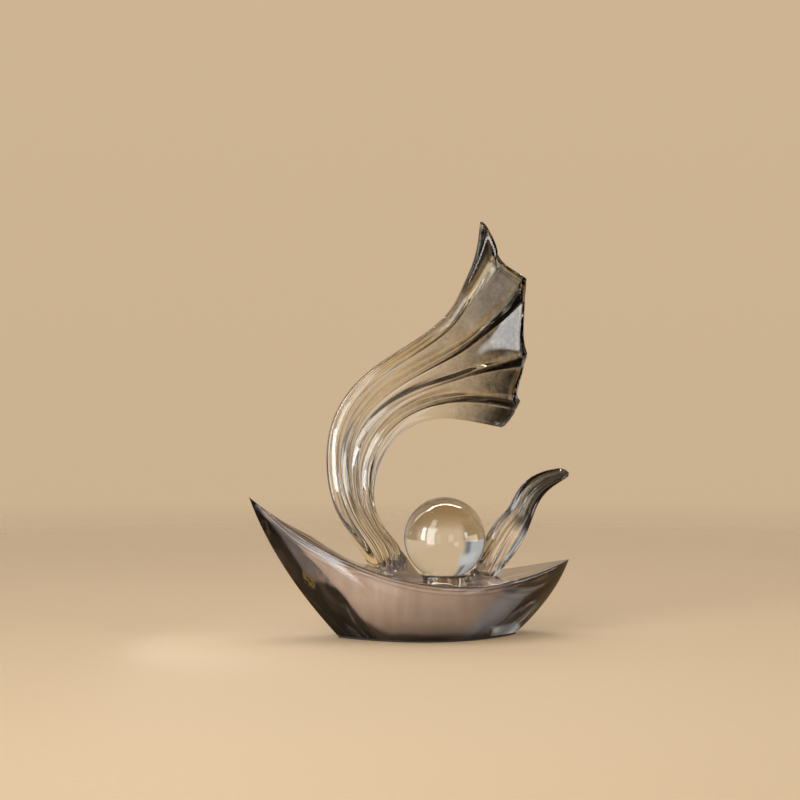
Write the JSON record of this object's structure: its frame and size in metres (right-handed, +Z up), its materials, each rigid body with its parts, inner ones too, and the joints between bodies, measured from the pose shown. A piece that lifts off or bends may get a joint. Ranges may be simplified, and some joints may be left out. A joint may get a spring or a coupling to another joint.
{
  "type": "sailboat figurine",
  "caption": "Leaf shaped hull ornament carrying a fluted curling sail, a small horn shaped plume and a clear ball that rests in a ring on the deck.",
  "frame": {"origin": "on the surface that the figurine stands on, under the middle of the hull's length and breadth", "axes": "+X towards the stern, +Y away from the viewer, +Z up; the sail, the ball and the plume stand on the plane where y is 0"},
  "size_m": [0.1976, 0.0778, 0.252],
  "materials": {
    "smoke_tinted_resin": "polished smoke tinted casting resin",
    "clear_resin": "polished clear casting resin with a smoke tint towards the tips",
    "clear_glass": "polished clear glass",
    "clear_seat": "clear moulded plastic",
    "dark_pad": "matte dark sheet"
  },
  "bodies": {
    "figurine": {"hull": "smoke_tinted_resin", "sail": "clear_resin", "plume": "clear_resin", "ball_seat": "clear_seat", "base_pad": "dark_pad"},
    "ball": {"ball": "clear_glass"}
  },
  "joints": [
    {"name": "ball_lift", "type": "slide", "parent": "figurine", "child": "ball", "axis": [0, 0, 1], "range_m": [0, 0.03]}
  ]
}
